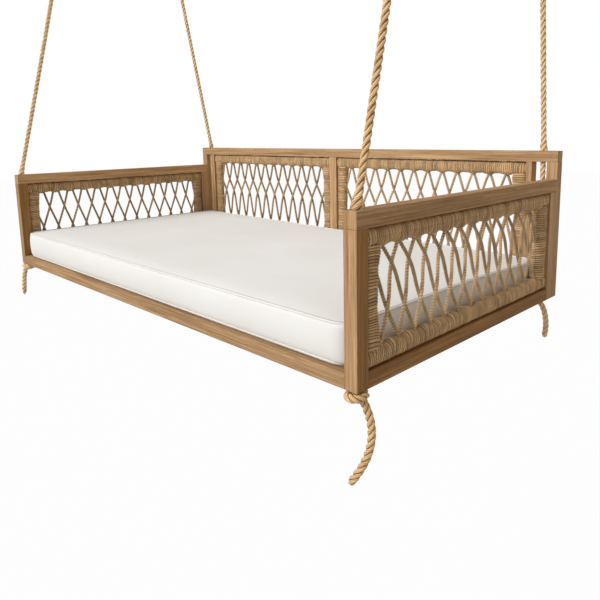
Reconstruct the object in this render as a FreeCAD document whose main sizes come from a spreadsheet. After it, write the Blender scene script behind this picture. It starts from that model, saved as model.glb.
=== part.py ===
"""Rope-hung daybed swing: wooden frame, corded panels, mattress, four ropes and their ceiling hooks.

Frame of the part: +X along the bed, +Y towards the back rest, +Z up.
The origin is the centre of the four hook studs, in the plane of the ceiling.
All sizes are in millimetres.
"""

import FreeCAD
import Part

import math
import os
import re

from FreeCAD import Placement, Rotation, Vector

SIZES = {
    # the bed as a whole
    "bed_length": 2000,
    "bed_depth": 1032,
    "arm_height": 398,
    "back_height": 490,
    "ceiling_height": 1475,  # ceiling above the underside of the frame
    "centre_offset": 49,  # the bed's middle lies this far in front of the hooks' middle
    # wooden members
    "section": 38,
    "arm_top_depth": 40,
    "back_thickness": 37,
    "back_top_depth": 36,
    "back_post_width": 36,
    "stile_width": 20,
    "rope_slot": 50,
    "centre_post_width": 40,
    "front_rail_height": 36,
    "edge_round": 1.5,
    # corded panels
    "panel_gap": 3.5,
    "bar_width": 41,
    "bar_thickness": 32,
    "bar_round": 9,
    "wrap_thickness": 5,
    "strand_diameter": 8,
    "layer_offset": 4.2,
    "arm_pitch": 66,
    "back_pitch": 65.4,
    # deck under the mattress
    "slat_width": 70,
    "slat_thickness": 18,
    "slat_count": 13,
    "slat_margin": 17,
    "ledger_width": 22,
    "batten_width": 60,
    "deck_gap": 0.5,
    # mattress
    "mattress_length": 1912,
    "mattress_depth": 980,
    "mattress_height": 110,
    "mattress_setback": 12,
    "mattress_lift": 0.5,
    "mattress_round": 18,
    # ropes and what they end in
    "rope_diameter": 18,
    "bore_diameter": 20,
    "knot_diameter": 54,
    "knot_height": 28,
    "knot_round": 11,
    "anchor_x": 965,
    "anchor_y": 293,
    "pivot_drop": 65,  # ceiling to the wire that the thimbles hang on
    "ring_radius": 25,
    "ring_wire": 4.5,
    "shank_radius": 7,
    "flange_radius": 20,
    "flange_thickness": 6,
    "stud_radius": 6,
    "stud_length": 60,
    "thimble_width": 12,
    "thimble_wall": 3,
    "thimble_crown": 17,
    "crown_drop": 9,
    "thimble_shoulder": 25,
    "thimble_tip": 66.7,
    "thimble_outer_tip": 74.7,
    # fasteners
    "dowel_radius": 4,
    "dowel_length": 40,
    "bottom_dowel_length": 36,
    "bottom_dowel_depth": 12,  # what goes into the bottom rail, beside the rope's bore
    "bolt_radius": 3,
    "bolt_length": 58,
    "bolt_head_radius": 7,
    "bolt_head_height": 4,
    "bolt_low": 110,
    "bolt_high": 300,
    "pin_radius": 3,
    "pin_length": 30,
    "pin_place": 0.25,  # pins stand at this share of the opening from either end
    "screw_radius": 2,
    "screw_length": 30,
    "bracket_arm": 55,
    "bracket_width": 14,
    "bracket_wall": 3,
    "bracket_screw_length": 20,
    "bracket_screw_out": 46,
}

# Routes of the ropes of the right-hand side, one point per change of direction: (x, y, z).
# A left-hand rope is the mirror image, apart from the tails, which hang as they please.
FRONT_ROPE = [
    (980.9, -545, -1073),
    (966.5, -317.3, -162),
    (965.4, -270.9, -96.3),
    (964.7, -260, -52.6),
    (964.7, -316.3, -38.6),
    (965.4, -327.2, -82.2),
    (966.2, -321.1, -136.3),
]
BACK_ROPE = [
    (939.1, 447.9, -981.5),
    (962.2, 309.7, -163.6),
    (964.3, 325.8, -84.8),
    (965.6, 318.3, -40.5),
    (965.6, 261.1, -50.1),
    (964.3, 268.6, -94.5),
    (962.9, 295.8, -141.6),
]
# Radii that the thimble gives to the bends round it, by the point's place in the route.
ROUND_THIMBLE = {2: 75, 3: 28.9, 4: 28.9, 5: 70}

TAILS = {
    "front_right": [
        (989, -538, -1494),
        (1000, -529, -1522),
        (1007, -523, -1560),
        (1009, -521, -1598),
        (1004, -526, -1636),
        (992, -537, -1670),
        (975, -551, -1697),
    ],
    "front_left": [
        (-981, -549, -1496),
        (-984, -554, -1526),
        (-989, -562, -1560),
        (-990, -570, -1593),
        (-989, -574, -1619),
    ],
    "back_right": [
        (947, 452, -1495),
        (959, 458, -1513),
        (969, 461, -1540),
        (974, 462, -1572),
        (975, 460, -1602),
        (972, 457, -1626),
    ],
    "back_left": [
        (-943, 450, -1496),
        (-949, 446, -1520),
        (-952, 441, -1551),
        (-950, 437, -1584),
        (-945, 435, -1614),
    ],
}

RUN_SHARE = 0.45  # a bend's tangent takes this share of its shorter run
SAME_POINT = 1e-3  # points of a route that are nearer than this need no line between them
SAME_WAY = 0.9  # cosine above which an edge counts as running along an axis
SHORTEST_STRAND = 15  # a shorter end of lattice cord at a corner is left out
OVERRUN = 0.1  # a lattice cord is drawn this share of its fall past both ends, then trimmed
OUTSIDE_NODES = 3  # lattice cords that start this many pitches outside still cross the opening
SIDES = {"left": -1, "right": 1}

doc = FreeCAD.newDocument("DaybedSwing")
sheet = doc.addObject("Spreadsheet::Sheet", "Dimensions")
for row, (alias, value) in enumerate(SIZES.items(), start=1):
    sheet.set(f"A{row}", alias)
    sheet.set(f"B{row}", str(value))
    sheet.setAlias(f"B{row}", alias)
doc.recompute()

ALIAS = re.compile(r"\b(" + "|".join(SIZES) + r")\b")
nodes = []


def size(alias):
    """A driving dimension as a number."""
    return float(getattr(sheet, alias))


def bound(text):
    """An expression written with bare aliases, as FreeCAD reads it."""
    return ALIAS.sub(r"Dimensions.\1", str(text))


def node(made, label):
    """Names a finished sub-part and puts it on the list of those written out."""
    made.Label = label
    nodes.append(made)
    return made


def block(name, x, y, z):
    """A box; x, y and z are each (start, length), as expressions."""
    made = doc.addObject("Part::Box", name)
    for side, axis, (start, length) in (
        ("Length", "x", x),
        ("Width", "y", y),
        ("Height", "z", z),
    ):
        made.setExpression(side, bound(length))
        made.setExpression(f"Placement.Base.{axis}", bound(start))
    return made


def rod(name, radius, start, length, axis="z"):
    """A cylinder from start along an axis; radius, length and start are expressions."""
    made = doc.addObject("Part::Cylinder", name)
    made.setExpression("Radius", bound(radius))
    made.setExpression("Height", bound(length))
    turn = {
        "x": Rotation(Vector(0, 1, 0), 90),
        "y": Rotation(Vector(1, 0, 0), -90),
        "z": Rotation(),
    }[axis]
    made.Placement = Placement(Vector(), turn)
    for letter, place in zip("xyz", start):
        made.setExpression(f"Placement.Base.{letter}", bound(place))
    return made


def rounded(name, base, radius, along=None):
    """Fillets every edge of a box, or only those parallel to one axis."""
    doc.recompute()
    direction = {"x": Vector(1, 0, 0), "y": Vector(0, 1, 0), "z": Vector(0, 0, 1)}.get(along)
    chosen = [
        number
        for number, edge in enumerate(base.Shape.Edges, start=1)
        if direction is None or abs(edge.tangentAt(edge.FirstParameter).dot(direction)) > SAME_WAY
    ]
    made = doc.addObject("Part::Fillet", name)
    made.Base = base
    made.Edges = [(number, radius, radius) for number in chosen]
    return made


def cut(name, base, tool):
    made = doc.addObject("Part::Cut", name)
    made.Base = base
    made.Tool = tool
    return made


def gathered(name, pieces, kind="Part::Compound"):
    """Several solids as one object: kept apart as a compound, or joined as a Part::MultiFuse."""
    made = doc.addObject(kind, name)
    setattr(made, "Links" if kind == "Part::Compound" else "Shapes", pieces)
    return made


def mirrored(side, start, length):
    """The (start, length) along X of a block on the right, or of its mirror image on the left."""
    if side == "right":
        return (start, length)
    return (f"-({start}) - ({length})", length)


# Planes that the members are laid out from
FRONT = "-bed_depth / 2 - centre_offset"
BACK = "bed_depth / 2 - centre_offset"
BACK_FRONT = f"{BACK} - back_thickness"
BOTTOM = "-ceiling_height"
INSIDE = "bed_length / 2 - section"
FRONT_ROPE_Y = f"{FRONT} + section / 2"
BACK_ROPE_Y = f"{BACK} - back_thickness / 2"
FRONT_ROPE_X = "bed_length / 2 - section / 2"
BACK_POST_X = "bed_length / 2 - back_post_width"
BACK_ROPE_X = f"{BACK_POST_X} - rope_slot / 2"
STILE_X = f"{BACK_POST_X} - rope_slot - stile_width"


def member(label, x, y, z, bores=()):
    """A wooden member with eased edges, drilled where ropes pass through it."""
    made = rounded(f"{label}_eased", block(f"{label}_blank", x, y, z), size("edge_round"))
    for number, (at_x, at_y) in enumerate(bores):
        low = f"{z[0]} - rope_diameter"
        long = f"{z[1]} + 2 * rope_diameter"
        drill = rod(f"{label}_drill_{number}", "bore_diameter / 2", (at_x, at_y, low), long)
        made = cut(f"{label}_bored_{number}", made, drill)
    return node(made, label)


def arms():
    for side, sign in SIDES.items():
        x = mirrored(side, INSIDE, "section")
        bore = (f"{sign} * ({FRONT_ROPE_X})", FRONT_ROPE_Y)
        post_top = "arm_height - arm_top_depth"
        top_rail_z = f"{BOTTOM} + {post_top}"
        member(f"front_post_{side}", x, (FRONT, "section"), (BOTTOM, post_top), [bore])
        member(
            f"arm_top_rail_{side}",
            x,
            (FRONT, "bed_depth - back_thickness"),
            (top_rail_z, "arm_top_depth"),
            [bore],
        )
        member(
            f"arm_rear_stile_{side}",
            x,
            (f"{BACK_FRONT} - section", "section"),
            (BOTTOM, post_top),
        )
        member(
            f"arm_bottom_rail_{side}",
            x,
            (f"{FRONT} + section", "bed_depth - back_thickness - 2 * section"),
            (BOTTOM, "section"),
        )


def back_frame():
    y = (BACK_FRONT, "back_thickness")
    post_top = "back_height - back_top_depth"
    rope_bores = [(f"{sign} * ({BACK_ROPE_X})", BACK_ROPE_Y) for sign in SIDES.values()]
    member(
        "back_top_rail",
        ("-bed_length / 2", "bed_length"),
        y,
        (f"{BOTTOM} + {post_top}", "back_top_depth"),
        rope_bores,
    )
    member(
        "back_bottom_rail",
        (f"-({BACK_POST_X})", f"2 * ({BACK_POST_X})"),
        y,
        (BOTTOM, "section"),
        rope_bores,
    )
    upright = (f"{BOTTOM} + section", f"{post_top} - section")
    for side in SIDES:
        x = mirrored(side, BACK_POST_X, "back_post_width")
        member(f"back_post_{side}", x, y, (BOTTOM, post_top))
        x = mirrored(side, STILE_X, "stile_width")
        member(f"back_stile_{side}", x, y, upright)
    member("back_centre_post", ("-centre_post_width / 2", "centre_post_width"), y, upright)
    member(
        "front_rail",
        (f"-({INSIDE})", f"2 * ({INSIDE})"),
        (FRONT, "section"),
        (BOTTOM, "front_rail_height"),
    )


def deck():
    """Ledgers on the rails carry slats that run from front to back, flush with the front rail."""
    inner_front = f"{FRONT} + section"
    ledger_long = f"{INSIDE} - bracket_arm - slat_thickness"
    ledger_x = (f"-({ledger_long})", f"2 * ({ledger_long})")
    ledger_z = (BOTTOM, "front_rail_height - slat_thickness")
    front = block("ledger_front", ledger_x, (inner_front, "ledger_width"), ledger_z)
    rear = block("ledger_rear", ledger_x, (f"{BACK_FRONT} - ledger_width", "ledger_width"), ledger_z)
    node(gathered("ledgers", [front, rear]), "deck_ledgers")

    batten_y = ("-centre_offset - batten_width / 2", "batten_width")
    batten_x = (f"-({INSIDE})", f"2 * ({INSIDE})")
    node(block("batten", batten_x, batten_y, ledger_z), "deck_centre_batten")

    slat_y = (f"{inner_front} + deck_gap", "bed_depth - section - back_thickness - 2 * deck_gap")
    slat_z = (f"{BOTTOM} + front_rail_height - slat_thickness", "slat_thickness")
    slats = []
    screws = []
    count = int(size("slat_count"))
    for place in range(count):
        share = f"{place} / {count - 1}"
        first = f"-({INSIDE}) + slat_margin"
        start = f"{first} + {share} * (2 * ({INSIDE} - slat_margin) - slat_width)"
        blank = block(f"slat_blank_{place}", (start, "slat_width"), slat_y, slat_z)
        slats.append(rounded(f"slat_{place}", blank, size("edge_round")))
        for end, screw_y in (
            ("front", f"{inner_front} + ledger_width / 2"),
            ("rear", f"{BACK_FRONT} - ledger_width / 2"),
        ):
            if 0 < place < count - 1:
                screw_z = f"{BOTTOM} + front_rail_height - screw_length - deck_gap"
                at = (f"{start} + slat_width / 2", screw_y, screw_z)
                screws.append(rod(f"slat_screw_{place}_{end}", "screw_radius", at, "screw_length"))
    node(gathered("slats", slats), "deck_slats")
    node(gathered("slat_screws", screws), "deck_screws")


def brackets():
    """Steel angles under the slats tie the four rails to each other at the corners."""
    angles = []
    screws = []
    low = f"{BOTTOM} + 2 * deck_gap"
    z = (low, "bracket_width")
    middle = f"{low} + bracket_width / 2"
    for side, sign in SIDES.items():
        long_x = mirrored(side, f"{INSIDE} - bracket_arm", "bracket_arm")
        thin_x = mirrored(side, f"{INSIDE} - bracket_wall", "bracket_wall")
        rail_screw_x = f"{sign} * ({INSIDE} - bracket_screw_out)"
        arm_screw_x = f"{INSIDE} - bracket_wall"
        if side == "left":
            arm_screw_x = f"-({INSIDE}) + bracket_wall - bracket_screw_length"
        corners = {
            "front": {
                "thin_y": f"{FRONT} + section",
                "long_y": f"{FRONT} + section",
                "rail_screw_y": f"{FRONT} + section + bracket_wall - bracket_screw_length",
                "arm_screw_y": f"{FRONT} + section + bracket_screw_out",
            },
            "rear": {
                "thin_y": f"{BACK_FRONT} - bracket_wall",
                "long_y": f"{BACK_FRONT} - bracket_arm",
                "rail_screw_y": f"{BACK_FRONT} - bracket_wall",
                "arm_screw_y": f"{BACK_FRONT} - bracket_screw_out",
            },
        }
        for end, at in corners.items():
            place = f"{end}_{side}"
            along_rail = block(f"angle_rail_{place}", long_x, (at["thin_y"], "bracket_wall"), z)
            along_arm = block(f"angle_arm_{place}", thin_x, (at["long_y"], "bracket_arm"), z)
            angles.append(gathered(f"angle_{place}", [along_rail, along_arm], "Part::MultiFuse"))
            rail_start = (rail_screw_x, at["rail_screw_y"], middle)
            arm_start = (arm_screw_x, at["arm_screw_y"], middle)
            screws += [
                rod(f"rail_screw_{place}", "screw_radius", rail_start, "bracket_screw_length", "y"),
                rod(f"arm_screw_{place}", "screw_radius", arm_start, "bracket_screw_length", "x"),
            ]
    node(gathered("angles", angles), "corner_brackets")
    node(gathered("angle_screws", screws), "bracket_screws")


def frame_fasteners():
    """Bolts join the arms to the back frame; dowels join the members that meet end to face."""
    bolts = []
    dowels = []

    def dowel(name, start, axis, length="dowel_length"):
        dowels.append(rod(f"dowel_{name}", "dowel_radius", start, length, axis))

    stile_y = f"{BACK_FRONT} - section / 2"
    half = "dowel_length / 2"
    top_joint = f"{BOTTOM} + back_height - back_top_depth - {half}"
    low_joint = f"{BOTTOM} + section - {half}"
    for side, sign in SIDES.items():
        x = f"{sign} * ({FRONT_ROPE_X})"
        for level in ("bolt_low", "bolt_high"):
            height = f"{BOTTOM} + {level}"
            start = (x, f"{BACK} - bolt_length", height)
            shank = rod(f"shank_{level}_{side}", "bolt_radius", start, "bolt_length", "y")
            head_at = (x, f"{BACK} - bolt_head_height", height)
            head = rod(f"head_{level}_{side}", "bolt_head_radius", head_at, "bolt_head_height", "y")
            bolts.append(gathered(f"bolt_{level}_{side}", [shank, head], "Part::MultiFuse"))
        arm_joint = f"{BOTTOM} + arm_height - arm_top_depth - {half}"
        dowel(f"arm_top_{side}", (x, stile_y, arm_joint), "z")
        stile_front = f"{BACK_FRONT} - section - {half}"
        dowel(f"arm_bottom_{side}", (x, stile_front, f"{BOTTOM} + section / 2"), "y")
        post_x = f"{sign} * ({BACK_POST_X} + back_post_width / 2)"
        dowel(f"post_{side}", (post_x, BACK_ROPE_Y, top_joint), "z")
        joint = f"{BACK_POST_X} - bottom_dowel_depth"
        joint_x = joint if sign > 0 else f"-({joint}) - bottom_dowel_length"
        low = f"{BOTTOM} + section / 2"
        dowel(f"bottom_{side}", (joint_x, BACK_ROPE_Y, low), "x", "bottom_dowel_length")
        upright_x = f"{sign} * ({STILE_X} + stile_width / 2)"
        dowel(f"stile_top_{side}", (upright_x, BACK_ROPE_Y, top_joint), "z")
        dowel(f"stile_bottom_{side}", (upright_x, BACK_ROPE_Y, low_joint), "z")
    dowel("centre_top", ("0", BACK_ROPE_Y, top_joint), "z")
    dowel("centre_bottom", ("0", BACK_ROPE_Y, low_joint), "z")
    node(gathered("bolts", bolts), "frame_bolts")
    node(gathered("dowels", dowels), "frame_dowels")


class Panel:
    """One corded panel: where its wooden opening lies, and how its lattice runs.

    along is the axis that its long bars follow, and thick the axis across it.
    start and length give the opening along that axis, and height the opening upwards.
    The cords of one layer shift by fall_front pitches from the top bar to the bottom bar,
    towards the low end of the long axis, and those of the other by fall_back towards its high end.
    heads says how far from the opening's low end the first cord of each layer leaves the top bar.
    """

    def __init__(self, name, along, middle, start, length, height, pitch, heads, fall_front, fall_back):
        self.name = name
        self.along = along
        self.middle = middle
        self.start = start
        self.length = length
        self.height = height
        self.pitch = pitch
        self.heads = heads
        self.fall_front = fall_front
        self.fall_back = fall_back

    def piece(self, name, along, up, thickness):
        """A box in the panel, centred on its middle plane."""
        across = (f"{self.middle} - ({thickness}) / 2", thickness)
        x, y = (along, across) if self.along == "x" else (across, along)
        return block(f"{name}_{self.name}", x, y, up)

    def spans(self, inset):
        """The long and upright extents of the panel's outline, pulled in by an expression."""
        along = (f"{self.start} + {inset}", f"{self.length} - 2 * ({inset})")
        up = (f"{BOTTOM} + section + {inset}", f"{self.height} - 2 * ({inset})")
        return along, up

    def bars(self, name, inset, width, thickness):
        """Two long bars and, between them, two uprights."""
        along, up = self.spans(inset)
        top = f"{up[0]} + {up[1]} - ({width})"
        far = f"{along[0]} + {along[1]} - ({width})"
        between = (f"{up[0]} + {width}", f"{up[1]} - 2 * ({width})")
        return [
            (self.along, self.piece(f"{name}_bottom", along, (up[0], width), thickness)),
            (self.along, self.piece(f"{name}_top", along, (top, width), thickness)),
            ("z", self.piece(f"{name}_low", (along[0], width), between, thickness)),
            ("z", self.piece(f"{name}_high", (far, width), between, thickness)),
        ]

    def core(self):
        """The wooden inner frame, buried in its cord winding."""
        inset = "(panel_gap + wrap_thickness)"
        thickness = "bar_thickness - 2 * wrap_thickness"
        width = "(bar_width - 2 * wrap_thickness)"
        bars = [bar for _, bar in self.bars("core", inset, width, thickness)]
        return node(gathered(f"cores_{self.name}", bars), f"core_{self.name}")

    def wrap(self, core):
        """The winding: a rounded sleeve round each bar."""
        bars = self.bars("wrap", "panel_gap", "bar_width", "bar_thickness")
        sleeves = [
            rounded(f"sleeve_{number}_{self.name}", bar, size("bar_round"), along)
            for number, (along, bar) in enumerate(bars)
        ]
        cored = [cut(f"cored_{number}_{self.name}", sleeve, core) for number, sleeve in enumerate(sleeves)]
        return node(gathered(f"sleeves_{self.name}", cored), f"wrap_{self.name}")

    def lattice(self):
        """Two layers of cords that cross as diamonds, cut off where they meet the winding."""
        inset = "panel_gap + bar_width"
        along, up = self.spans(inset)
        opening = self.piece("opening", along, up, "4 * strand_diameter")
        doc.recompute()
        window = opening.Shape.copy()
        box = window.BoundBox
        low, high = (box.XMin, box.XMax) if self.along == "x" else (box.YMin, box.YMax)
        middle = (box.YMin + box.YMax) / 2 if self.along == "x" else (box.XMin + box.XMax) / 2
        doc.removeObject(opening.Name)
        tall = box.ZMax - box.ZMin
        pitch = size(self.pitch)
        cords = []
        to_front, to_back = self.heads
        layers = ((1, to_back, self.fall_back * pitch), (-1, to_front, -self.fall_front * pitch))
        for layer, first, fall in layers:
            across = middle + layer * size("layer_offset")
            count = int((high - low) / pitch) + 1
            for place in range(-OUTSIDE_NODES, count + OUTSIDE_NODES):
                top = low + first + place * pitch
                head = self.point(top - fall * OVERRUN, across, box.ZMax + tall * OVERRUN)
                foot = self.point(top + fall * (1 + OVERRUN), across, box.ZMin - tall * OVERRUN)
                run = head - foot
                whole = Part.makeCylinder(size("strand_diameter") / 2, run.Length, foot, run)
                kept = whole.common(window).Solids
                cords += [cord for cord in kept if cord.BoundBox.ZLength > SHORTEST_STRAND]
        made = doc.addObject("Part::Feature", f"lattice_{self.name}")
        made.Shape = Part.makeCompound(cords)
        made.Placement = Placement()
        return node(made, f"lattice_{self.name}")

    def point(self, along, across, up):
        return Vector(along, across, up) if self.along == "x" else Vector(across, along, up)

    def pins(self):
        """Upright pins that hold the panel in its wooden opening."""
        made = []
        for number, share in enumerate(("pin_place", "(1 - pin_place)")):
            along = f"{self.start} + {share} * ({self.length})"
            x, y = (along, self.middle) if self.along == "x" else (self.middle, along)
            low = f"{BOTTOM} + section - pin_length / 2 + wrap_thickness"
            high = f"{BOTTOM} + section + {self.height} - pin_length / 2 - wrap_thickness"
            for end, z in (("low", low), ("high", high)):
                name = f"pin_{end}_{number}_{self.name}"
                made.append(rod(name, "pin_radius", (x, y, z), "pin_length"))
        return made


def panels():
    arm_y = f"{FRONT} + section"
    arm_long = "bed_depth - back_thickness - 2 * section"
    arm_tall = "arm_height - arm_top_depth - section"
    back_long = f"{STILE_X} - centre_post_width / 2"
    back_tall = "back_height - back_top_depth - section"
    left_middle = f"-({FRONT_ROPE_X})"
    left_start = f"-({STILE_X})"
    right_start = "centre_post_width / 2"
    arm = (arm_y, arm_long, arm_tall, "arm_pitch")
    back = (back_long, back_tall, "back_pitch", (32.7, 32.7), 1.75, 1.75)
    made = [
        Panel("arm_left", "y", left_middle, *arm, (12, 22), 1.29, 1.29),
        Panel("arm_right", "y", FRONT_ROPE_X, *arm, (12, 25), 0.79, 1.85),
        Panel("back_left", "x", BACK_ROPE_Y, left_start, *back),
        Panel("back_right", "x", BACK_ROPE_Y, right_start, *back),
    ]
    pins = []
    for panel in made:
        core = panel.core()
        panel.wrap(core)
        panel.lattice()
        pins += panel.pins()
    node(gathered("pins", pins), "panel_pins")


def mattress():
    x = ("-mattress_length / 2", "mattress_length")
    y = (f"{FRONT} + mattress_setback", "mattress_depth")
    z = (f"{BOTTOM} + front_rail_height + mattress_lift", "mattress_height")
    node(rounded("mattress_body", block("mattress_blank", x, y, z), size("mattress_round")), "mattress")


def route_path(name, points, radii):
    """Straight runs joined by tangent arcs, as one wire, and the list of its arcs' radii."""
    corners = [Vector(*point) for point in points]
    edges = []
    used = []
    last = corners[0]
    for number in range(1, len(corners) - 1):
        before, corner, after = corners[number - 1 : number + 2]
        inward = (before - corner).normalize()
        onward = (after - corner).normalize()
        turn = math.pi - inward.getAngle(onward)
        shorter = min((before - corner).Length, (after - corner).Length)
        radius = radii.get(number, RUN_SHARE * shorter / math.tan(turn / 2))
        tangent = radius * math.tan(turn / 2)
        first = corner + inward * tangent
        final = corner + onward * tangent
        bisector = (inward + onward).normalize()
        centre = corner + bisector * (radius / math.cos(turn / 2))
        crest = centre - bisector * radius
        if (first - last).Length > SAME_POINT:
            edges.append(Part.LineSegment(last, first).toShape())
        edges.append(Part.Arc(first, crest, final).toShape())
        used.append(radius)
        last = final
    edges.append(Part.LineSegment(last, corners[-1]).toShape())
    radii_text = ", ".join(f"{radius:.0f}" for radius in used)
    print(f"{name}: arc radii {radii_text} mm")
    return Part.Wire(edges)


def rope(name, points, radii=None):
    """A plain tube of the rope's diameter along its route."""
    path = route_path(name, points, radii or {})
    start = Vector(*points[0])
    onward = Vector(*points[1]) - start
    radius = size("rope_diameter") / 2
    profile = Part.Wire([Part.makeCircle(radius, start, onward)])
    made = doc.addObject("Part::Feature", name)
    made.Shape = path.makePipeShell([profile], True, True)
    made.Placement = Placement()
    expected = math.pi * radius**2 * path.Length
    print(f"{name}: length {path.Length:.0f} mm, volume ratio {made.Shape.Volume / expected:.4f}")
    return node(made, name)


def flipped(points, sign):
    return [(sign * x, y, z) for x, y, z in points]


def ropes():
    for side, sign in SIDES.items():
        for end, route, at_x, at_y, top in (
            ("front", FRONT_ROPE, FRONT_ROPE_X, FRONT_ROPE_Y, "arm_height"),
            ("back", BACK_ROPE, BACK_ROPE_X, BACK_ROPE_Y, "back_height"),
        ):
            place = f"{end}_{side}"
            rope(f"rope_{place}", flipped(route, sign), ROUND_THIMBLE)
            at = (f"{sign} * ({at_x})", at_y, BOTTOM)
            through = rod(f"through_{place}", "rope_diameter / 2", at, top)
            node(through, f"rope_in_frame_{place}")
            below = (at[0], at[1], f"{BOTTOM} - knot_height")
            blank = rod(f"knot_blank_{place}", "knot_diameter / 2", below, "knot_height")
            doc.recompute()
            rims = [
                number
                for number, edge in enumerate(blank.Shape.Edges, start=1)
                if isinstance(edge.Curve, Part.Circle)
            ]
            knot = doc.addObject("Part::Fillet", f"knot_round_{place}")
            knot.Base = blank
            knot.Edges = [(number, size("knot_round"), size("knot_round")) for number in rims]
            node(knot, f"knot_{place}")
            rope(f"tail_{place}", TAILS[place])


def thimble(name, point, direction):
    """A teardrop band that lines the rope's eye; the ceiling ring passes through it."""
    crown = size("thimble_crown")
    wall = size("thimble_wall")
    width = size("thimble_width")
    drop = -size("crown_drop")
    shoulder = -size("thimble_shoulder")

    def outline(radius, tip):
        left_high, right_high = Vector(-radius, -width / 2, drop), Vector(radius, -width / 2, drop)
        left_low, right_low = Vector(-radius, -width / 2, shoulder), Vector(radius, -width / 2, shoulder)
        top = Vector(0, -width / 2, drop + radius)
        foot = Vector(0, -width / 2, -tip)
        return Part.Face(
            Part.Wire(
                [
                    Part.Arc(left_high, top, right_high).toShape(),
                    Part.LineSegment(right_high, right_low).toShape(),
                    Part.LineSegment(right_low, foot).toShape(),
                    Part.LineSegment(foot, left_low).toShape(),
                    Part.LineSegment(left_low, left_high).toShape(),
                ]
            )
        )

    outer = outline(crown + wall, size("thimble_outer_tip"))
    inner = outline(crown, size("thimble_tip"))
    made = doc.addObject("Part::Feature", name)
    made.Shape = outer.cut(inner).extrude(Vector(0, width, 0))
    upright = Vector(*direction).normalize()
    sideways = Vector(0, upright.z, -upright.y).normalize()
    turn = Rotation(sideways, upright.cross(sideways), upright, "ZXY")
    made.Placement = Placement(Vector(*point), turn)
    return made


def ceiling_fittings():
    """Eye bolts through the ceiling, and the thimbles that hang in their rings."""
    for end, route, sign_y in (("front", FRONT_ROPE, -1), ("back", BACK_ROPE, 1)):
        lined = []
        for side, sign in SIDES.items():
            place = f"{end}_{side}"
            x = f"{sign} * anchor_x"
            y = f"{sign_y} * anchor_y"
            ring = doc.addObject("Part::Torus", f"ring_{place}")
            ring.setExpression("Radius1", bound("ring_radius"))
            ring.setExpression("Radius2", bound("ring_wire"))
            ring.Placement = Placement(Vector(), Rotation(Vector(1, 0, 0), 90))
            ring.setExpression("Placement.Base.x", bound(x))
            ring.setExpression("Placement.Base.y", bound(y))
            ring.setExpression("Placement.Base.z", bound("ring_radius - pivot_drop"))
            shank_z = "2 * ring_radius - pivot_drop"
            shank = rod(f"shank_{place}", "shank_radius", (x, y, shank_z), f"-({shank_z})")
            flange = rod(f"flange_{place}", "flange_radius", (x, y, "-flange_thickness"), "flange_thickness")
            stud_long = "stud_length + flange_thickness"
            stud = rod(f"stud_{place}", "stud_radius", (x, y, "-flange_thickness"), stud_long)
            hook = gathered(f"eye_bolt_{place}", [ring, shank, flange, stud], "Part::MultiFuse")
            node(hook, f"ceiling_hook_{place}")
            low, throat = Vector(*route[0]), Vector(*route[1])
            run = throat - low
            anchor = Vector(sign * size("anchor_x"), sign_y * size("anchor_y"), -size("pivot_drop"))
            lined.append(thimble(f"thimble_{place}", anchor, (sign * run.x, run.y, run.z)))
        node(gathered(f"thimble_pair_{end}", lined), f"thimbles_{end}")


arms()
back_frame()
deck()
brackets()
frame_fasteners()
panels()
mattress()
ropes()
ceiling_fittings()
doc.recompute()

failed = [made.Name for made in doc.Objects if {"Invalid", "Error"} & set(made.State)]
if failed:
    raise RuntimeError(f"objects that failed to compute: {failed}")
for made in nodes:
    if made.Shape.isNull() or not made.Shape.isValid() or not made.Shape.Solids:
        raise RuntimeError(f"{made.Label} has no valid solid")

os.makedirs("parts", exist_ok=True)
for made in nodes:
    made.Shape.exportStep(f"parts/{made.Label}.step")
print(f"{len(nodes)} nodes written")
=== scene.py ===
import math
import random

import bmesh
import bpy
import numpy as np
from mathutils import Matrix, Vector, noise


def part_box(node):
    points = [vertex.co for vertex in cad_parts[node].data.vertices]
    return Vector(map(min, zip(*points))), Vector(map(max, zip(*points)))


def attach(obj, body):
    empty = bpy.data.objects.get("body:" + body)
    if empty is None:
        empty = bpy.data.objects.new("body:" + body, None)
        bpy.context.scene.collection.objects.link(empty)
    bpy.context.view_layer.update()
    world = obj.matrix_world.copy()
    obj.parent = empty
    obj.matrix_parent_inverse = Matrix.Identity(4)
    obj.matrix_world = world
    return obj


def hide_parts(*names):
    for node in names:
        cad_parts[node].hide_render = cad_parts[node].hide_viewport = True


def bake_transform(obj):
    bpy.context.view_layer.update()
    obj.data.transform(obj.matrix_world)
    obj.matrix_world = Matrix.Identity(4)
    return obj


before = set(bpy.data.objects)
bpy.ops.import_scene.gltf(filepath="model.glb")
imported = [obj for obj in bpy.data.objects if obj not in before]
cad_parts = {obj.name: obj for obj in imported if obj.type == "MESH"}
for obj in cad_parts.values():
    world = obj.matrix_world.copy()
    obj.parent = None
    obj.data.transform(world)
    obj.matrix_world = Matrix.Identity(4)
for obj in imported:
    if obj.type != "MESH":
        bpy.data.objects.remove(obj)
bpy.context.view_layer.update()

# Rope-hung daybed swing. Lengths are metres; +X runs along the bed, +Y to the back rest, +Z up.
# The origin is the middle of the four ceiling hooks, in the plane of the ceiling.

SIDES = {"left": -1, "right": 1}
ENDS = ("front", "back")

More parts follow.
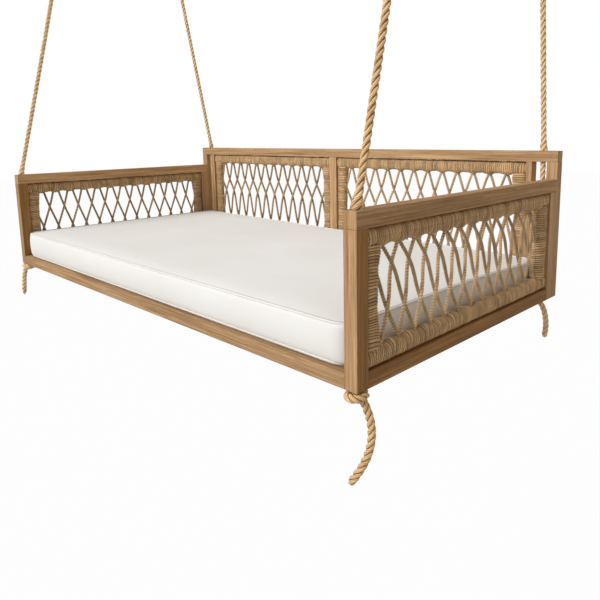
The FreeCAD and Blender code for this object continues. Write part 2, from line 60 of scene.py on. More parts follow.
# Ropes: 18 mm, three strands. Routes are those of the right-hand side, from the knot upwards.
ROPE_RADIUS = 0.009
ROPE_LAY = 0.060
ROPE_STEP = 0.0030
ROPE_ROUTES = {
    "front": [
        (0.9810, -0.5460, -1.4750), (0.9810, -0.5460, -1.3400),
        (0.9810, -0.5460, -1.1100), (0.9809, -0.5425, -1.0730),
        (0.9803, -0.5310, -1.0330), (0.9682, -0.3370, -0.2680),
        (0.9665, -0.3173, -0.1620), (0.9654, -0.2709, -0.0963),
        (0.9647, -0.2600, -0.0526), (0.9647, -0.3163, -0.0386),
        (0.9654, -0.3272, -0.0822), (0.9662, -0.3211, -0.1363),
        (0.9663, -0.3305, -0.1680),
    ],
    "back": [
        (0.9390, 0.4485, -1.4750), (0.9390, 0.4485, -1.3400),
        (0.9390, 0.4485, -1.0180), (0.9391, 0.4479, -0.9815),
        (0.9402, 0.4413, -0.9425), (0.9591, 0.3280, -0.2720),
        (0.9622, 0.3097, -0.1636), (0.9643, 0.3258, -0.0848),
        (0.9656, 0.3183, -0.0405), (0.9656, 0.2611, -0.0501),
        (0.9643, 0.2686, -0.0945), (0.9629, 0.2958, -0.1416),
        (0.9620, 0.2995, -0.1735),
    ],
}
TAIL_ROUTES = {
    "front_right": [
        (0.989, -0.538, -1.494), (0.999, -0.530, -1.522),
        (1.006, -0.524, -1.560), (1.006, -0.524, -1.598),
        (0.999, -0.531, -1.637), (0.985, -0.544, -1.673),
        (0.969, -0.557, -1.702),
    ],
    "front_left": [
        (-0.981, -0.560, -1.494), (-0.984, -0.568, -1.522),
        (-0.988, -0.571, -1.558), (-0.990, -0.573, -1.593),
        (-0.989, -0.574, -1.619),
    ],
    "back_right": [
        (0.947, 0.452, -1.495), (0.959, 0.458, -1.513),
        (0.969, 0.461, -1.540), (0.974, 0.462, -1.572),
        (0.975, 0.460, -1.602), (0.972, 0.457, -1.626),
    ],
    "back_left": [
        (-0.943, 0.450, -1.496), (-0.949, 0.446, -1.520),
        (-0.952, 0.441, -1.551), (-0.950, 0.437, -1.584),
        (-0.945, 0.435, -1.614),
    ],
}
ROPE_FLARE = 0.42  # the strands open where the rope leaves the wood
FLARE_REACH = 0.028
SLOT_SHIFT = 0.005  # the back right rope lies against one side of its slot

# Section of a rope of three strands, in shares of its radius
STRANDS = 3
STRAND_OUT = 0.54  # from the middle of the rope to the middle of a strand
STRAND_SHAPE = np.array((0.48, 0.50))  # its radii, out from the rope's middle and across that
STRAND_SHIFT = 0.37  # how far a strand's tones are moved along from those of the one before it
ROPE_SIDES = 12
CORD_SIDES = 7
END_LEFT = 0.03  # the square of the share of its girth that a rope keeps at its round end
ASKEW = (0.31, 0.87, 0.38)  # a direction that no route starts along

# Corded panels
TURN_PITCH = 0.0071
TURN_HEIGHT = 0.0027
TURN_LEAN = {"arm": 0.0055, "back": 0.0030}  # how far a turn slants between the lattice's nodes
BAR_WIDTH = 0.041
BAR_ROUND = 0.0135
BAR_POINTS = 24
WINDING_PROUD = 0.0027  # how far the winding stands out of its sleeve, towards the frame
CORD_RADIUS = 0.0052
CORD_LAY = 0.022
CORD_STEP = 0.0036
CORD_TUCK = 0.009  # how far a lattice cord runs on into the winding
WEAVE_DEPTH = 0.0040
SECOND_LAYER = 50  # marks from here on are cords of a panel's second layer, which are painted a little darker as shade

# Camera: its yaw, pitch and roll are in radians
CAMERA_PLACE = (1.7679, -1.4523, -0.9208)
CAMERA_TURNS = (0.7751, -0.1615, -0.0149)
CAMERA_LENS = 34.716
CAMERA_SHIFT = (-0.0355, -0.1188)


def in_scene(name, data):
    """A new object with this data, linked to the scene."""
    made = bpy.data.objects.new(name, data)
    bpy.context.scene.collection.objects.link(made)
    return made


def camera():
    """A camera in front of the right-hand corner, a little above the seat."""
    yaw, pitch, roll = CAMERA_TURNS
    level = math.cos(pitch)
    ahead = Vector((-math.sin(yaw) * level, math.cos(yaw) * level, math.sin(pitch)))
    right = Vector((math.cos(yaw), math.sin(yaw), 0))
    up = right.cross(ahead)
    turned_right = right * math.cos(roll) + up * math.sin(roll)
    turned_up = up * math.cos(roll) - right * math.sin(roll)
    lens = bpy.data.cameras.new("camera")
    lens.sensor_width = 36
    lens.lens = CAMERA_LENS
    lens.shift_x, lens.shift_y = CAMERA_SHIFT
    lens.clip_start = 0.05
    lens.clip_end = 100
    eye = in_scene("camera", lens)
    axes = Matrix((turned_right, turned_up, -ahead)).transposed()
    eye.matrix_world = Matrix.Translation(Vector(CAMERA_PLACE)) @ axes.to_4x4()
    bpy.context.scene.camera = eye


# ---------------------------------------------------------------- shapes


def spline_line(points):
    """The line of a NURBS spline that has these control points."""
    curve = bpy.data.curves.new("route", "CURVE")
    curve.dimensions = "3D"
    curve.resolution_u = 24
    spline = curve.splines.new("NURBS")
    spline.points.add(len(points) - 1)
    for control, point in zip(spline.points, points):
        control.co = (*point, 1)
    spline.order_u = 3
    spline.use_endpoint_u = True
    carrier = bpy.data.objects.new("route", curve)
    line = bpy.data.meshes.new_from_object(carrier)
    found = np.array([vertex.co for vertex in line.vertices])
    bpy.data.meshes.remove(line)
    bpy.data.objects.remove(carrier)
    bpy.data.curves.remove(curve)
    return found


def stepped(line, step):
    """The same line with points at even steps, and each point's distance along it."""
    runs = np.linalg.norm(np.diff(line, axis=0), axis=1)
    along = np.concatenate(([0], np.cumsum(runs)))
    even = np.linspace(0, along[-1], max(2, round(along[-1] / step) + 1))
    return np.stack([np.interp(even, along, line[:, k]) for k in range(3)], axis=1), even


def unit(vectors):
    return vectors / np.linalg.norm(vectors, axis=-1, keepdims=True)


def carried(line):
    """At each point of a line, two crossing directions that turn no more than the line does."""
    tangents = unit(np.gradient(line, axis=0))
    side = np.cross(tangents[0], ASKEW)
    sides = []
    for tangent in tangents:
        side = side - tangent * np.dot(side, tangent)
        side = side / np.linalg.norm(side)
        sides.append(side)
    sides = np.array(sides)
    return tangents, sides, np.cross(tangents, sides)


def circle(count):
    """Points of a unit circle, as rows of two."""
    around = np.linspace(0, 2 * math.pi, count, endpoint=False)
    return np.stack([np.cos(around), np.sin(around)], axis=-1)


def swept(centres, first, second, section):
    """Rings round a line: a section's points, laid out along two directions at each centre."""
    return (
        centres[:, None]
        + first[..., None, :] * section[..., 0, None]
        + second[..., None, :] * section[..., 1, None]
    )


class Shape:
    """A mesh in the making: grids of points, with how far round and along each of them lies."""

    def __init__(self):
        self.points = []
        self.quads = []
        self.caps = []
        self.marks = []
        self.count = 0

    def tube(self, rings, along, around, capped=True):
        """Closed rings of points, joined in their order."""
        rows, columns = rings.shape[:2]
        index = self.count + np.arange(rows * columns).reshape(rows, columns)
        ahead = np.roll(index, -1, axis=1)
        corners = np.stack([index[:-1], ahead[:-1], ahead[1:], index[1:]], axis=-1)
        self.points.append(rings.reshape(-1, 3))
        self.quads.append(corners.reshape(-1, 4))
        turn = np.append(around, around[-1] + (around[-1] - around[-2]))
        places = np.stack(np.broadcast_arrays(turn[None], along[:, None]), axis=-1)
        first, second = places[:-1], places[1:]
        marks = np.stack([first[:, :-1], first[:, 1:], second[:, 1:], second[:, :-1]], axis=2)
        self.marks.append(marks.reshape(-1, 2))
        if capped:
            self.caps.append(index[0][::-1])
            self.caps.append(index[-1])
        self.count += rows * columns

    def made(self, name, material):
        """The finished mesh as an object."""
        faces = [*np.concatenate(self.quads), *self.caps]
        data = bpy.data.meshes.new(name)
        data.from_pydata(np.concatenate(self.points), [], faces)
        marks = np.zeros((len(data.loops), 2), np.float32)
        drawn = np.concatenate(self.marks)
        marks[: len(drawn)] = drawn
        layer = data.uv_layers.new(name="strand")
        layer.data.foreach_set("uv", marks.reshape(-1))
        data.polygons.foreach_set("use_smooth", np.ones(len(faces), bool))
        data.validate()
        data.materials.append(material)
        return in_scene(name, data)


def corner_arcs(low_x, high_x, low_y, high_y, count):
    """The middles and normals of four arcs that go round a rectangle from its high corner."""
    corners = ((high_x, high_y), (low_x, high_y), (low_x, low_y), (high_x, low_y))
    rows = []
    for number, (x, y) in enumerate(corners):
        for turn in np.radians(np.linspace(90 * number, 90 * number + 90, count)):
            rows.append((x, y, math.cos(turn), math.sin(turn)))
    rows = np.array(rows)
    return rows[:, :2], rows[:, 2:]


def rounded_end(along, length, reach):
    """1 along a rope, falling to a small value over its last stretch, as a worn round end."""
    past = np.clip((along - (length - reach)) / reach, 0, 1)
    return np.sqrt(np.clip(1 - past**2, END_LEFT, 1))


def lay_rope(shape, line, radius, lay, step, sides=ROPE_SIDES, girth=None, phase=0.0, number=0):
    """Adds right-handed strands along a line; girth gives its relative thickness at each distance.

    phase is the angle at which the first strand starts, and number marks the rope for its material.
    """
    points, along = stepped(line, step)
    _, side, other = carried(points)
    size = radius * (np.ones(len(along)) if girth is None else girth(along))
    around = np.arange(sides) / sides
    for strand in range(STRANDS):
        angle = 2 * math.pi * (along / lay + strand / STRANDS) + phase
        out = side * np.cos(angle)[:, None] + other * np.sin(angle)[:, None]
        centre = points + out * (STRAND_OUT * size)[:, None]
        tangent = unit(np.gradient(centre, axis=0))
        normal = unit(out - tangent * np.sum(out * tangent, axis=1, keepdims=True))
        across = np.cross(tangent, normal)
        section = circle(sides) * (STRAND_SHAPE * size[:, None])[:, None]
        rings = swept(centre, normal, across, section)
        shape.tube(rings, along + strand * STRAND_SHIFT, around + number)
    return points


# ---------------------------------------------------------------- materials

WHITE = (1, 1, 1)
WOOD_TONES = ((0.275, 0.152, 0.064), (0.432, 0.262, 0.128), (0.605, 0.400, 0.222))
ROPE_TONES = ((0.51, 0.35, 0.205), (0.77, 0.58, 0.370), (0.93, 0.76, 0.53))
# tones painted lighter for the three ropes other than the front right one: painted light on ropes that
# stand in shade
PAINTED_LIT_ROPE_TONES = ((0.68, 0.52, 0.35), (0.90, 0.74, 0.54), (0.98, 0.88, 0.72))
CORD_TONES = ((0.50, 0.385, 0.255), (0.79, 0.63, 0.45), (0.97, 0.83, 0.65))
SHADED_CORD_TONES = ((0.42, 0.31, 0.20), (0.63, 0.48, 0.33), (0.80, 0.66, 0.49))
WINDING_TONES = ((0.385, 0.265, 0.150), (0.575, 0.415, 0.252), (0.75, 0.56, 0.36))
# painted shade in the hollows between a rope's strands
ROPE_HOLLOW_SHADE = (0.25, 0.20, 0.145)
PAINTED_LIT_ROPE_HOLLOW_SHADE = (0.62, 0.56, 0.47)
CORD_HOLLOW_SHADE = (0.30, 0.25, 0.20)
GROOVE_SHADE = (0.20, 0.15, 0.10)  # painted shade between two turns of a winding
ROPE_YARNS = (6, -12)  # lines round each strand, and the turns that they lean in a metre
CORD_YARNS = (2, -40)
WINDING_TWISTS = 26
WOOD_PLACES = (0.39, 0.50, 0.61)  # where the three tones lie on their ramp
FIBRE_PLACES = (0.34, 0.50, 0.66)
SEED_SHIFT = (1.37, 0.71, 2.13)
FRONT_LIMIT = 0.8  # a face looks to the front or back if its normal's y is past this
FIBRE_FINISH = {
    "Roughness": 0.85,
    "Sheen Weight": 0.12,
    "Sheen Roughness": 0.5,
    "Specular IOR Level": 0.2,
}
CLOTH_FINISH = {"Roughness": 0.88, "Sheen Weight": 0.12, "Specular IOR Level": 0.2}


def material(name):
    """A new material and its node tree, with the Principled shader already in it."""
    made = bpy.data.materials.new(name)
    made.use_nodes = True
    tree = made.node_tree
    return made, tree, tree.nodes["Principled BSDF"]


def plug(tree, socket, value):
    """Gives an input its value, which may be the output of another node."""
    if isinstance(value, bpy.types.NodeSocket):
        tree.links.new(value, socket)
    else:
        socket.default_value = value


def set_inputs(tree, node, values):
    """Gives a node's inputs their values; the inputs are called by name or by number."""
    for name, value in values.items():
        plug(tree, node.inputs[name], value)


def add(tree, kind, **values):
    """A node with some of its inputs or properties set by name."""
    made = tree.nodes.new(kind)
    for name, value in values.items():
        if name in made.inputs:
            plug(tree, made.inputs[name], value)
        else:
            setattr(made, name, value)
    return made


def noise_node(tree, vector, scale, detail, roughness):
    look = {"Scale": scale, "Detail": detail, "Roughness": roughness}
    return add(tree, "ShaderNodeTexNoise", Vector=vector, **look).outputs["Fac"]


def ramp(tree, factor, *stops):
    """Colours blended along a factor; each stop is (position, colour)."""
    made = add(tree, "ShaderNodeValToRGB", Fac=factor)
    elements = made.color_ramp.elements
    while len(elements) < len(stops):
        elements.new(0.5)
    for element, (position, colour) in zip(elements, stops):
        element.position = position
        element.color = (*colour, 1)
    return made.outputs["Color"]


def shades(tree, factor, *stops):
    """A ramp of warm greys; each stop is (position, brightness)."""
    greys = [(place, (value, value * 0.96, value * 0.90)) for place, value in stops]
    return ramp(tree, factor, *greys)


def own_shades(tree, number, *stops):
    """A shade that stays the same from one whole number to the next."""
    whole = maths(tree, "FLOOR", number)
    each = add(tree, "ShaderNodeTexWhiteNoise", noise_dimensions="1D", W=whole)
    return shades(tree, each.outputs["Value"], *stops)


def blended(tree, mode, factor, first, second):
    """Two colours mixed; factor is a number or a socket."""
    made = add(tree, "ShaderNodeMix", data_type="RGBA", blend_type=mode)
    for place, value in ((0, factor), (6, first), (7, second)):
        plug(tree, made.inputs[place], (*value, 1) if isinstance(value, tuple) else value)
    return made.outputs[2]


def maths(tree, operation, first, second=0.5):
    """A sum or other operation; those with one operand leave out the second."""
    made = add(tree, "ShaderNodeMath", operation=operation)
    plug(tree, made.inputs[0], first)
    plug(tree, made.inputs[1], second)
    return made.outputs[0]


def weighted(tree, *terms):
    """The sum of some values, each multiplied by its share; a term is (value, share)."""
    total = None
    for value, share in terms:
        part = maths(tree, "MULTIPLY", value, share)
        total = part if total is None else maths(tree, "ADD", total, part)
    return total


def from_zero(tree, value):
    """A value between -1 and 1, brought between 0 and 1."""
    return maths(tree, "ADD", maths(tree, "MULTIPLY", value, 0.5), 0.5)


def spread(tree, value, low, high):
    """A value between 0 and 1, brought between low and high."""
    ends = {"Value": value, "To Min": low, "To Max": high}
    return add(tree, "ShaderNodeMapRange", **ends).outputs["Result"]


def mapped(tree, scale=(1, 1, 1), location=(0, 0, 0), source="Object"):
    """Coordinates in the object or, if source says so, round and along a strand."""
    if source == "strand":
        found = add(tree, "ShaderNodeUVMap", uv_map="strand").outputs["UV"]
    else:
        found = tree.nodes.new("ShaderNodeTexCoord").outputs[source]
    made = add(tree, "ShaderNodeMapping", Vector=found, Scale=scale, Location=location)
    return made.outputs["Vector"]


def parts_of(tree, vector):
    """The x, y and z of a vector."""
    return tuple(add(tree, "ShaderNodeSeparateXYZ", Vector=vector).outputs)


def bump(tree, shader, height, strength, distance):
    made = add(tree, "ShaderNodeBump", Height=height, Strength=strength, Distance=distance)
    tree.links.new(made.outputs["Normal"], shader.inputs["Normal"])


def facing_front(tree):
    """1 on faces that point straight to the front or back, so that a rail's end matches its post and the
    other faces can take painted shade.
    """
    normal = tree.nodes.new("ShaderNodeNewGeometry").outputs["True Normal"]
    depth = maths(tree, "ABSOLUTE", parts_of(tree, normal)[1])
    return maths(tree, "GREATER_THAN", depth, FRONT_LIMIT)


def wood(name, axis, seed, tint, sides, end_seed):
    """Brushed hardwood with its grain along one axis; tint makes it paler or darker.

    sides is painted shade: it darkens and reddens the faces that don't look to the front or back.
    end_seed gives a rail's end the same figure as the post below it.
    """
    made, tree, shader = material(name)
    shift, end_shift = ([number * share for share in SEED_SHIFT] for number in (seed, end_seed))

    def figure(share, scale, detail, roughness):
        """Noise that is stretched along the grain, where share is small."""
        stretch = [share if axis == letter else 1.0 for letter in "xyz"]
        place = mapped(tree, stretch, shift)
        if axis == "y":
            mix = add(tree, "ShaderNodeMix", data_type="VECTOR")
            inputs = {0: facing_front(tree), 4: place, 5: mapped(tree, (1, 1, share), end_shift)}
            set_inputs(tree, mix, inputs)
            place = mix.outputs[1]
        return noise_node(tree, place, scale, detail, roughness)

    broad = figure(0.06, 24, 3, 0.5)
    stripe = figure(0.022, 170, 4, 0.6)
    fibre = figure(0.014, 460, 4, 0.65)
    pore = figure(0.030, 900, 3, 0.6)
    patch = figure(0.35, 7, 2, 0.5)
    streaks = weighted(tree, (broad, 0.26), (stripe, 0.42), (fibre, 0.32))
    tones = [tuple(channel * tint for channel in tone) for tone in WOOD_TONES]
    colour = ramp(tree, streaks, *zip(WOOD_PLACES, tones))
    pores = ramp(tree, pore, (0.36, (0.58, 0.53, 0.47)), (0.48, WHITE))
    colour = blended(tree, "MULTIPLY", 0.6, colour, pores)
    worn = ramp(tree, patch, (0.35, (0.90, 0.88, 0.86)), (0.65, (1.08, 1.08, 1.08)))
    colour = blended(tree, "MULTIPLY", 0.8, colour, worn)
    # painted shade on the faces that don't look to the front or back
    if sides:
        painted_side_shade = blended(tree, "MULTIPLY", 1.0, colour, sides)
        colour = blended(tree, "MIX", facing_front(tree), painted_side_shade, colour)
    gloss = {"Roughness": spread(tree, fibre, 0.52, 0.70), "Specular IOR Level": 0.3}
    set_inputs(tree, shader, {"Base Color": colour, **gloss})
    bump(tree, shader, weighted(tree, (streaks, 0.6), (pore, 0.4)), 0.5, 0.0007)
    return made


def strand_marks(tree):
    """How far round a strand or bar a point lies, and how far along it."""
    marks = add(tree, "ShaderNodeUVMap", uv_map="strand")
    return parts_of(tree, marks.outputs["UV"])[:2]


def fibrous(tree, shader, tones, tints, relief):
    """Gives a shader the colour, dullness and roughness of natural fibre."""
    hair = noise_node(tree, mapped(tree, (9, 260, 1), source="strand"), 3, 4, 0.7)
    patch = noise_node(tree, mapped(tree), 30, 3, 0.6)
    speck = noise_node(tree, mapped(tree), 520, 3, 0.7)
    mix = weighted(tree, (hair, 0.5), (patch, 0.5))
    colour = ramp(tree, mix, *zip(FIBRE_PLACES, tones))
    for tint in tints:
        colour = blended(tree, "MULTIPLY", 1.0, colour, tint)
    grains = shades(tree, speck, (0.36, 0.72), (0.52, 1.0))
    colour = blended(tree, "MULTIPLY", 0.45, colour, grains)
    set_inputs(tree, shader, {"Base Color": colour, **FIBRE_FINISH})
    bump(tree, shader, weighted(tree, (relief, 0.6), (speck, 0.4)), 0.7, 0.0006)


def cordage(name, tones, yarns, lean, hollow_shade):
    """Laid rope: yarns lines run round each strand and lean by so many turns a metre.

    The last argument is painted shade: the colour that darkens the hollows between its strands.
    """
    made, tree, shader = material(name)
    turn, along = strand_marks(tree)
    yarn = maths(tree, "FRACT", weighted(tree, (turn, yarns), (along, yarns * lean)))
    lines = shades(tree, yarn, (0.0, 0.48), (0.25, 1.0), (0.75, 1.06), (1.0, 0.48))
    # painted shade on the side of each strand that faces the hollows between strands
    crest = maths(tree, "COSINE", maths(tree, "MULTIPLY", turn, 2 * math.pi))
    between = tuple((1 + channel) / 2 for channel in hollow_shade)
    painted_hollow_shade = ramp(tree, from_zero(tree, crest), (0.38, hollow_shade), (0.56, between), (0.74, WHITE))
    own = own_shades(tree, turn, (0.0, 0.92), (1.0, 1.10))
    # painted shade on the cords of a panel's second layer
    under = maths(tree, "GREATER_THAN", turn, SECOND_LAYER)
    shaded = shades(tree, under, (0.0, 1.0), (1.0, 0.76))
    fibrous(tree, shader, tones, (lines, painted_hollow_shade, own, shaded), yarn)
    return made


def wound(name, tones, twists):
    """Fine cord in turns: each turn has its own tone, painted shade at its edges, and twists lines round
    the bar.
    """
    made, tree, shader = material(name)
    turn, number = strand_marks(tree)
    part = maths(tree, "FRACT", number)
    # painted shade at the edges of each turn, where two turns meet
    groove_shade = ramp(tree, part, (0.0, GROOVE_SHADE), (0.24, WHITE), (0.76, WHITE), (1.0, GROOVE_SHADE))
    own = own_shades(tree, number, (0.0, 0.74), (0.5, 1.0), (1.0, 1.20))
    slanted = maths(tree, "FRACT", weighted(tree, (turn, twists), (part, 1.0)))
    lines = shades(tree, slanted, (0.0, 0.60), (0.3, 1.02), (0.8, 1.10), (1.0, 0.60))
    fibrous(tree, shader, tones, (groove_shade, own, lines), slanted)
    return made


def canvas(name, colour, warm):
    """Plain-woven cloth with slight changes of tone."""
    made, tree, shader = material(name)
    tone = noise_node(tree, mapped(tree), 3.5, 3, 0.5)
    shade = ramp(tree, tone, (0.35, warm), (0.65, colour))
    threads = []
    for direction in ("X", "Y", "Z"):
        wave = add(tree, "ShaderNodeTexWave", Vector=mapped(tree), Scale=230, Distortion=0.5, Detail=1)
        wave.bands_direction = direction
        threads.append((wave.outputs["Fac"], 1.0))
    weave = weighted(tree, *threads)
    fibres = noise_node(tree, mapped(tree), 700, 3, 0.7)
    shaded = ramp(tree, fibres, (0.30, (0.93, 0.93, 0.92)), (0.60, WHITE))
    cloth = blended(tree, "MULTIPLY", 0.6, shade, shaded)
    set_inputs(tree, shader, {"Base Color": cloth, **CLOTH_FINISH})
    bump(tree, shader, weighted(tree, (weave, 0.33), (fibres, 1.0)), 0.25, 0.0004)
    return made


def steel(name):
    """Galvanised or brushed steel with fine uneven gloss."""
    made, tree, shader = material(name)
    cloud = noise_node(tree, mapped(tree), 160, 4, 0.6)
    scratch = noise_node(tree, mapped(tree, (1, 1, 0.08)), 900, 2, 0.5)
    colour = ramp(tree, cloud, (0.30, (0.42, 0.42, 0.42)), (0.70, (0.62, 0.62, 0.61)))
    gloss = {"Metallic": 1.0, "Roughness": spread(tree, cloud, 0.26, 0.48)}
    set_inputs(tree, shader, {"Base Color": colour, **gloss})
    bump(tree, shader, scratch, 0.15, 0.0003)
    return made


ROPE = cordage("rope", ROPE_TONES, *ROPE_YARNS, ROPE_HOLLOW_SHADE)
# rope material with tones painted lighter: painted light for the ropes that stand in shade
PAINTED_LIT_ROPE = cordage("rope_painted_lit", PAINTED_LIT_ROPE_TONES, *ROPE_YARNS, PAINTED_LIT_ROPE_HOLLOW_SHADE)
CORD = cordage("cord", CORD_TONES, *CORD_YARNS, CORD_HOLLOW_SHADE)
SHADED_CORD = cordage("cord_shaded", SHADED_CORD_TONES, *CORD_YARNS, CORD_HOLLOW_SHADE)
WINDING = wound("winding", WINDING_TONES, WINDING_TWISTS)
CANVAS = canvas("canvas", (0.80, 0.80, 0.79), (0.77, 0.77, 0.75))
# darker cloth for the stitch lines beside the welts: painted shade for the seam's creases
STITCH_SHADE_THREAD = canvas("stitch_shade_thread", (0.60, 0.59, 0.57), (0.56, 0.55, 0.53))
STEEL = steel("steel")

# ---------------------------------------------------------------- ropes

PIVOT_HEIGHT = {
    "front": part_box("arm_top_rail_right")[1].z,
    "back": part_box("back_top_rail")[1].z,
}
IN_FRAME = (1, 2, 3, 4)  # control points of a route that lie in the frame or just above it
LEG_LOW = 4  # control points between which a rope runs straight up to its eye
LEG_HIGH = 6
ROPE_END = 0.010  # length of a rope's round end
TAIL_END = {"front_left": 0.030, "front_right": 0.012, "back_left": 0.012, "back_right": 0.012}
TAIL_GIRTH = 1.08  # a loose end swells a little
TAIL_LAY = 0.052
TAIL_STEP = 0.002
RING_WIRE = 0.005
EYE_RADIUS = 0.029  # from the middle of the eye's crown to the middle of the rope
CROWN_DROP = 0.009
CROWN_POINTS = 17
THIMBLE_SHOULDER = 0.025
THIMBLE_FOOT = (0.0135, 0.0660)  # half the gap between the rope's legs, and how far down
THIMBLE_GROOVE = 0.0096
THIMBLE_SKIN = 0.0024
THIMBLE_LIP = math.radians(78)  # how far round the rope the groove reaches on either side
LIP_POINTS = 9
THIMBLE_STEP = 0.004
SEIZING_SPAN = (0.009, 0.037)  # above the rope's short end
SEIZING_TURNS = 12
SEIZING_SIDES = 28
SEIZING_REACH = 0.0100
SEIZING_RIDGE = 0.0011  # how far a turn of the twine stands out
SEIZING_EDGE = 0.0080
KNOT_TURN = 0.0208  # from the middle of the knot to the middle of its coiled rope
KNOT_GIRTH = 1.08
KNOT_LAY = 0.045
KNOT_POINTS = 11
KNOT_START = 0.55 * math.pi  # angle from the tail's side to where the coil starts
KNOT_TOP = 0.0100
KNOT_FALL = 0.0009  # from one point of the coil to the next
KNOT_HEAD = ((0, 0, 0.002), (0, 0, -0.008))
KNOT_FOOT = ((0.2, -0.0185), (0.9, -0.0195))  # share of the way to the tail, and height


def rope_finish(place):
    """The rope nearest to the camera looks darker in the photograph than the other three."""
    # the other three ropes take tones painted lighter, as painted light on ropes that stand in shade
    return ROPE if place == "front_right" else PAINTED_LIT_ROPE


def mirrored(points, sign):
    return [(sign * x, y, z) for x, y, z in points]


def eye_frame(end, side, sign):
    """Where a thimble hangs, and its own axes: across the eye, through it, and up the rope."""
    route = mirrored(ROPE_ROUTES[end], sign)
    up = (Vector(route[LEG_HIGH]) - Vector(route[LEG_LOW])).normalized()
    across = Vector((0, up.z, -up.y)).normalized()
    lowest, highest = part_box(f"ceiling_hook_{end}_{side}")
    place = (lowest + highest) / 2
    anchor = Vector((place.x, place.y, lowest.z + RING_WIRE))
    return anchor, across, across.cross(up), up


def thimble(end, side, sign):
    """A grooved steel teardrop that lines the eye of a rope."""
    anchor, across, through, up = eye_frame(end, side, sign)
    half, drop = THIMBLE_FOOT
    guide = [(-half, -drop, 0), (-EYE_RADIUS, -THIMBLE_SHOULDER, 0)]
    for turn in np.linspace(math.pi, 0, CROWN_POINTS):
        guide.append((EYE_RADIUS * math.cos(turn), EYE_RADIUS * math.sin(turn) - CROWN_DROP, 0))
    guide += [(EYE_RADIUS, -THIMBLE_SHOULDER, 0), (half, -drop, 0)]
    fine, _ = stepped(np.array(guide), THIMBLE_STEP)
    tangents = unit(np.gradient(fine, axis=0))
    inward = np.column_stack([tangents[:, 1], -tangents[:, 0], np.zeros(len(fine))])
    profile = []
    for radius, lip in ((THIMBLE_GROOVE, THIMBLE_LIP), (THIMBLE_GROOVE + THIMBLE_SKIN, -THIMBLE_LIP)):
        for turn in np.linspace(-lip, lip, LIP_POINTS):
            profile.append((radius * math.cos(turn), radius * math.sin(turn)))
    local = swept(fine, inward, np.array((0, 0, 1)), np.array(profile))
    rings = local @ np.array([across, up, through]) + np.array(anchor)
    shape = Shape()
    shape.tube(rings, np.linspace(0, 0.2, len(fine)), np.linspace(0, 0.05, len(profile)))
    piece = shape.made(f"thimble_{end}_{side}", STEEL)
    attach(piece, f"{end}_ropes")
    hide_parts(f"thimbles_{end}")
    return piece


def seizing(end, side, line):
    """Whipping twine that binds the rope's short end to its long one, under the thimble."""
    points, _ = stepped(line, 0.001)
    crown = int(np.argmax(points[:, 2]))
    legs = (points[:crown], points[crown:])
    heights = points[-1, 2] + np.linspace(*SEIZING_SPAN, 8 * SEIZING_TURNS)
    first, second = (
        np.array([leg[np.argmin(abs(leg[:, 2] - height))] for height in heights]) for leg in legs
    )
    centres = (first + second) / 2
    halves = np.linalg.norm(first - second, axis=1) / 2
    turns = np.linspace(0, SEIZING_TURNS, len(centres))
    ridge = SEIZING_REACH + SEIZING_RIDGE * np.abs(np.sin(math.pi * turns))
    ridge[0] = ridge[-1] = SEIZING_EDGE
    section = circle(SEIZING_SIDES) * np.stack([ridge, ridge + halves], axis=-1)[:, None]
    rings = swept(centres, np.array((1, 0, 0)), np.array((0, 1, 0)), section)
    shape = Shape()
    shape.tube(rings, turns, np.arange(SEIZING_SIDES) / SEIZING_SIDES)
    piece = shape.made(f"seizing_{end}_{side}", WINDING)
    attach(piece, f"{end}_ropes")
    return piece


def rope(end, side, sign):
    """One hanging rope: up through the frame, round its thimble and down to its seized end."""
    route = mirrored(ROPE_ROUTES[end], sign)
    if (end, side) == ("back", "right"):
        for number in IN_FRAME:
            x, y, z = route[number]
            route[number] = (x + SLOT_SHIFT, y, z)
    line = spline_line(route)
    shape = Shape()
    frame_top = PIVOT_HEIGHT[end] - ROPE_ROUTES[end][0][2]

    def girth(along):
        out = along - frame_top
        flare = np.where(out > 0, ROPE_FLARE * np.exp(-((out / FLARE_REACH) ** 2)), 0)
        return (1 + flare) * rounded_end(along, along[-1], ROPE_END)

    path = lay_rope(shape, line, ROPE_RADIUS, ROPE_LAY, ROPE_STEP, girth=girth)
    piece = shape.made(f"rope_long_{end}_{side}", rope_finish(f"{end}_{side}"))
    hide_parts(f"rope_{end}_{side}", f"rope_in_frame_{end}_{side}")
    fittings = [thimble(end, side, sign), seizing(end, side, line)]
    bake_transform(piece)


def tail(place):
    """The loose end of a rope below its knot."""
    line = spline_line(TAIL_ROUTES[place])
    shape = Shape()

    def girth(along):
        return TAIL_GIRTH * rounded_end(along, along[-1], TAIL_END[place])

    path = lay_rope(shape, line, ROPE_RADIUS, TAIL_LAY, TAIL_STEP, girth=girth)
    piece = shape.made(f"rope_tail_{place}", rope_finish(place))
    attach(piece, "bed")
    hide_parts(f"tail_{place}")


def knot(place):
    """A stopper knot: the rope turns round itself under the frame and passes through."""
    low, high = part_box(f"knot_{place}")
    middle = Vector(((low.x + high.x) / 2, (low.y + high.y) / 2, high.z))
    leave = Vector(TAIL_ROUTES[place][0]) - middle
    first = math.atan2(leave.y, leave.x) + KNOT_START
    points = list(KNOT_HEAD)
    for number in range(KNOT_POINTS):
        turn = first - number * math.pi / 4
        height = -KNOT_TOP - KNOT_FALL * number
        points.append((KNOT_TURN * math.cos(turn), KNOT_TURN * math.sin(turn), height))
    for share, height in KNOT_FOOT:
        points.append((share * leave.x, share * leave.y, height))
    shape = Shape()
    line = spline_line([tuple(middle + Vector(point)) for point in points])
    lay_rope(shape, line, KNOT_GIRTH * ROPE_RADIUS, KNOT_LAY, TAIL_STEP)
    piece = shape.made(f"stopper_{place}", rope_finish(place))
    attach(piece, "bed")
    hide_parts(f"knot_{place}")


def ropes():
    for side, sign in SIDES.items():
        for end in ENDS:
            rope(end, side, sign)
            knot(f"{end}_{side}")
            tail(f"{end}_{side}")


# ---------------------------------------------------------------- corded panels

